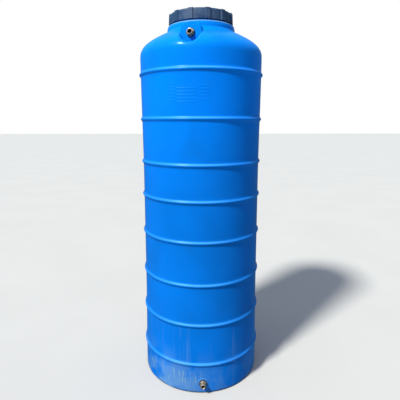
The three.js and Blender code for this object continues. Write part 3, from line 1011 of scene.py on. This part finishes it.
def hex_outline(across_flats, low, high, inner_radius):
    """The outline of a hexagon bar with both ends chamfered, to go with hexagon()."""
    corner = across_flats / 2 / math.cos(math.pi / 6)
    start = across_flats / 2 * HEX_FLAT_SHARE
    radii = np.linspace(start, corner + 0.01, 7)
    below = [(r, low + (r - start) * HEX_CHAMFER_SLOPE) for r in radii]
    above = [(r, high - (r - start) * HEX_CHAMFER_SLOPE) for r in radii[::-1]]
    return [(inner_radius, low)] + below + above + [(inner_radius, high)]


def thread_on_bar(low, high):
    """A fine right-hand pipe thread on a bar, between two heights."""
    turns = (high - low) / PIPE_THREAD_PITCH
    root = PIPE_RADIUS - PIPE_THREAD_DEPTH
    return helix_ridge(
        root, PIPE_RADIUS, PIPE_THREAD_PITCH * 0.86, PIPE_THREAD_PITCH * 0.2,
        PIPE_THREAD_PITCH, turns, low, fade=0.06, per_turn=36,
    )


def breather_body():
    low, high = box_mm("breather_body")
    flange_low = box_mm("screw_lid")[1].z - LID_PLATE_DROP + GAP
    flange_high = flange_low + BREATHER_FLANGE
    tube, bore = BREATHER_TUBE_RADIUS, BREATHER_BORE_RADIUS
    ledge = bore - 2
    outline = [
        (ledge, low.z, 0.3),
        (tube, low.z, 0.6),
        (tube, flange_low, 0.3),
        (high.x, flange_low, 0.5),
        (high.x, flange_high, 1.1),
        (tube, flange_high, 0.5),
        (tube, high.z, 0.4),
        (bore, high.z, 0.4),
        (bore, low.z + 2, 0.3),
        (ledge, low.z + 2, 0.3),
    ]
    outline = soften(outline, closed=True, steps=3)
    turned_piece("breather_seat", outline, "lid", "black_plastic", "breather_body")


def breather_cap():
    """A low cup with a guide tube inside and six windows round its wall."""
    low, high = box_mm("breather_cap")
    radius, wall = high.x, CAP_WALL
    sill = low.z + 3
    head = sill + CAP_WINDOW_HEIGHT
    roof = high.z - wall
    shoulder = [(radius, low.z + 1), (radius, head + 1), (radius, high.z, 4), (radius - 6, high.z)]
    outside = soften(shoulder, steps=6)[1:]
    outline = [(radius - wall + 0.3, low.z), (radius - 0.3, low.z), (radius, low.z + 0.4)]
    sill_row = len(outline)
    outline += [(radius, sill), (radius, head)]
    outline += [tuple(place) for place in outside] + [(8, high.z), (0, high.z)]
    outline += [(0, roof), (3, roof), (3, roof - 5), (5, roof - 5), (5, roof), (radius - wall - 1, roof)]
    outline += [(radius - wall, roof - 1)]
    inner_row = len(outline)
    outline += [(radius - wall, head), (radius - wall, sill)]
    columns = 72
    pitch = columns // CAP_WINDOWS
    window_columns = 7
    angles = (np.arange(columns) + 0.5) * FULL_TURN / columns
    points = np.concatenate([columns_at(angles, r, z) for r, z in outline])
    faces = ring_faces(len(outline), columns, True)
    gone = set()
    sides = []
    for k in range(CAP_WINDOWS):
        first = pitch * k - 4
        for j in range(first, first + window_columns):
            a, b = j % columns, (j + 1) % columns
            gone.update((sill_row * columns + a, inner_row * columns + a))
            for out_row, in_row in ((sill_row, inner_row + 1), (sill_row + 1, inner_row)):
                out, back = out_row * columns, in_row * columns
                sides.append((out + a, out + b, back + b, back + a))
        for edge in (first % columns, (first + window_columns) % columns):
            sides.append((
                sill_row * columns + edge,
                (sill_row + 1) * columns + edge,
                inner_row * columns + edge,
                (inner_row + 1) * columns + edge,
            ))
    faces = [face for number, face in enumerate(faces) if number not in gone] + sides
    cap = make_object("breather_hood", points, faces, FINISHES["black_plastic"], sharp=35)
    stand_for(cap, "lid", "black_plastic", "breather_cap")


def breather_nut():
    low, high = box_mm("breather_nut")
    outline = hex_outline(BREATHER_NUT, low.z, high.z, BREATHER_TUBE_RADIUS + GAP)
    shape = hexagon(BREATHER_NUT)
    turned_piece("breather_lock_nut", outline, "lid", "black_plastic", "breather_nut", reshape=shape)


def breather_disc():
    low, high = box_mm("breather_disc")
    radius, stem = high.x, 2.6
    outline = [
        (0, low.z),
        (radius, low.z, 0.5),
        (radius, low.z + 2, 0.5),
        (stem + 1.2, low.z + 2, 0.6),
        (stem, low.z + 3.2, 0.6),
        (stem, high.z, 0.8),
        (0, high.z),
    ]
    turned_piece(
        "breather_flap", soften(outline), "breather_valve", "white_nylon", "breather_disc",
        closed=False, columns=72,
    )


def insect_screen():
    """Woven wires that pass over and under each other, held by a ring."""
    low, high = box_mm("insect_screen")
    middle = (low.z + high.z) / 2
    outer = high.x
    wire, pitch = 0.16, 0.95
    outline = flat_ring(outer - 1.3, outer, low.z, high.z, 0.3)
    corners = np.radians([45, 135, 225, 315])
    extras = []
    count = int((outer - 1) / pitch)
    for across in (False, True):
        for k in range(-count, count + 1):
            offset = k * pitch
            half = math.sqrt((outer - 0.7) ** 2 - offset ** 2)
            steps = max(4, int(2 * half / (pitch / 2)))
            points = []
            for i in range(steps + 1):
                along = -half + 2 * half * i / steps
                wave = math.sin(math.pi * (along / pitch + k + (0.5 if across else 1.5)))
                for corner in corners:
                    side = offset + wire * math.cos(corner)
                    up = middle + wire * math.sin(corner) + wire * 0.9 * wave
                    points.append((side, along, up) if across else (along, side, up))
            extras.append((np.array(points), bar_faces(steps + 1, len(corners))))
    turned_piece(
        "breather_gauze", soften(outline, closed=True, steps=2), "lid", "steel_mesh", "insect_screen",
        columns=60, extra=extras,
    )


breather_body()
breather_cap()
breather_nut()
breather_disc()
insect_screen()

# ---------- pipe connectors ----------


def washer(name, slot, node, place, low, thickness, outer, bulge=0.0):
    """A flat ring round the bush, from the height low along the bush's axis."""
    high = low + thickness
    inner = PIPE_RADIUS + GAP
    outline = [
        (inner, low, 0.3),
        (outer, low, 0.7),
        (outer + bulge, (low + high) / 2),
        (outer, high, 0.7),
        (inner, high, 0.3),
    ]
    outline = soften(outline, closed=True, steps=3)
    turned_piece(name, outline, "tank", slot, node, place, columns=72)


def threaded_bush(name, node, place, collar_low, tube_end, stub_end):
    """The brass tube with its hexagon collar and a pipe thread on both sides of it."""
    collar_high = collar_low + HEX_COLLAR_THICKNESS
    root = PIPE_RADIUS - PIPE_THREAD_DEPTH
    bore = PIPE_BORE_RADIUS
    outline = [
        (bore, tube_end + 0.8),
        (bore + 0.8, tube_end),
        (root - 0.6, tube_end),
        (root, tube_end + 0.8),
        *hex_outline(HEX_COLLAR, collar_low, collar_high, root),
        (root, stub_end - 1.2),
        (root - 1.0, stub_end),
        (bore + 0.8, stub_end),
        (bore, stub_end - 0.8),
    ]
    threads = [
        thread_on_bar(collar_high + 1.2, stub_end - 1.0),
        thread_on_bar(tube_end + 1.0, collar_low - 0.6),
    ]
    shape = hexagon(HEX_COLLAR)
    turned_piece(name, outline, "tank", "brass", node, place, reshape=shape, extra=threads)


def back_nut(name, node, place, low, high):
    outline = hex_outline(BACK_NUT, low, high, PIPE_RADIUS + GAP)
    turned_piece(name, outline, "tank", "brass", node, place, reshape=hexagon(BACK_NUT))


def connector(prefix, turn, height, distance, wall):
    """A threaded brass bush through the wall, with its washers and back nut.

    Heights run along the bush's own axis from the wall's outer face, outward positive.
    """
    collar_low = 2 * GAP + RUBBER_WASHER
    stub_end = collar_low + HEX_COLLAR_THICKNESS + STUB_LENGTH
    seal_low = -wall - GAP - RUBBER_WASHER
    slip_low = seal_low - GAP - SLIP_WASHER
    nut_high = slip_low - GAP
    nut_low = nut_high - BACK_NUT_THICKNESS
    tube_end = nut_low - THREAD_PAST_NUT
    place = (turn, height, distance)
    threaded_bush(prefix + "_bush", prefix + "_connector", place, collar_low, tube_end, stub_end)
    back_nut(prefix + "_lock_nut", prefix + "_back_nut", place, nut_low, nut_high)
    for end, low in (("outer", GAP), ("inner", seal_low)):
        washer(
            f"{prefix}_{end}_seal", "black_rubber", f"{prefix}_{end}_washer",
            place, low, RUBBER_WASHER, RUBBER_WASHER_RADIUS, bulge=0.3,
        )
    washer(
        prefix + "_slip_ring", "white_nylon", prefix + "_slip_washer",
        place, slip_low, SLIP_WASHER, SLIP_WASHER_RADIUS,
    )


connector("inlet", PAD_TURN, PAD_HEIGHT, PAD_DISTANCE, WALL)
connector("outlet", 0, OUTLET_HEIGHT, OUTLET_DISTANCE, OUTLET_WALL)

# ---------- camera, light and floor ----------

CAMERA_DISTANCE = 1.957
CAMERA_HEIGHT = 1.342
CAMERA_TURN = -1.8
CAMERA_TILT = 8.5
CAMERA_LENS = 32.94
CAMERA_SHIFT = (-0.0025, -0.0588)
SUN_TURN = -46
SUN_ELEVATION = 48
SUN_SPREAD = 8
SUN_STRENGTH = 8.0
SUN_COLOUR = (1.0, 0.98, 0.9)
FILL_LOW = 0.18
FILL_HIGH = 0.85
SKY_COLOUR = (0.8, 0.91, 1.12, 1)
REFLECTED_SKY_COLOUR = (0.4, 0.82, 1.0, 1)


def add_camera():
    data = bpy.data.cameras.new("camera")
    data.lens = CAMERA_LENS
    data.sensor_width = 36
    data.shift_x, data.shift_y = CAMERA_SHIFT
    camera = add_object("camera", data)
    turn = math.radians(CAMERA_TURN)
    side, front = CAMERA_DISTANCE * math.sin(turn), -CAMERA_DISTANCE * math.cos(turn)
    camera.location = (side, front, CAMERA_HEIGHT)
    camera.rotation_euler = (math.radians(90 - CAMERA_TILT), 0, turn)
    bpy.context.scene.camera = camera


def add_sun():
    data = bpy.data.lights.new("sun", "SUN")
    data.angle = math.radians(SUN_SPREAD)
    data.energy = SUN_STRENGTH
    data.color = SUN_COLOUR
    lamp = add_object("sun", data)
    turn, elevation = math.radians(SUN_TURN), math.radians(SUN_ELEVATION)
    level = math.cos(elevation)
    towards = Vector((math.sin(turn) * level, -math.cos(turn) * level, math.sin(elevation)))
    lamp.location = towards * 4
    lamp.rotation_euler = towards.to_track_quat("Z", "Y").to_euler()


def add_world():
    """A white backdrop, and a fill light mostly from above, mirrored as a bluer sky."""
    world = bpy.data.worlds.new("studio")
    world.use_nodes = True
    tree = world.node_tree
    place = add_node(tree, "ShaderNodeTexCoord").outputs["Generated"]
    upward = add_node(tree, "ShaderNodeSeparateXYZ", {0: place}).outputs["Z"]
    fade = {0: upward, 1: -0.1, 2: 0.9, 3: FILL_LOW, 4: FILL_HIGH}
    strength = add_node(tree, "ShaderNodeMapRange", fade, interpolation_type="SMOOTHSTEP").outputs[0]
    rays = add_node(tree, "ShaderNodeLightPath").outputs
    colours = {"Factor": rays["Is Glossy Ray"], 6: SKY_COLOUR, 7: REFLECTED_SKY_COLOUR}
    sky = add_node(tree, "ShaderNodeMix", colours, data_type="RGBA").outputs[2]
    fill = tree.nodes["Background"]
    tree.links.new(sky, fill.inputs["Color"])
    tree.links.new(strength, fill.inputs["Strength"])
    backdrop = add_node(tree, "ShaderNodeBackground", {"Color": (1, 1, 1, 1)}).outputs[0]
    seen = {0: rays["Is Camera Ray"], 1: fill.outputs[0], 2: backdrop}
    either = add_node(tree, "ShaderNodeMixShader", seen).outputs[0]
    tree.links.new(either, tree.nodes["World Output"].inputs["Surface"])
    bpy.context.scene.world = world


def add_floor():
    """A plain pale floor, kept out of reflections so that it doesn't grey the glossy wall's edges."""
    shader = Shader("floor_paper", Roughness=0.9, Specular_IOR_Level=0.1)
    cloud = shader.remap(shader.noise(1.5, 2.0), 0.3, 0.7)
    shader.set("Base Color", shader.mix(cloud, (0.33, 0.33, 0.33, 1), (0.34, 0.34, 0.34, 1)))
    mesh = bpy.data.meshes.new("floor")
    span = 40
    corners = [(-span, -span, 0), (span, -span, 0), (span, span, 0), (-span, span, 0)]
    mesh.from_pydata(corners, [], [(0, 1, 2, 3)])
    mesh.materials.append(shader.material)
    floor = add_object("floor", mesh)
    floor.visible_glossy = False


add_camera()
add_sun()
add_world()
add_floor()
bpy.context.scene.view_settings.view_transform = "Standard"
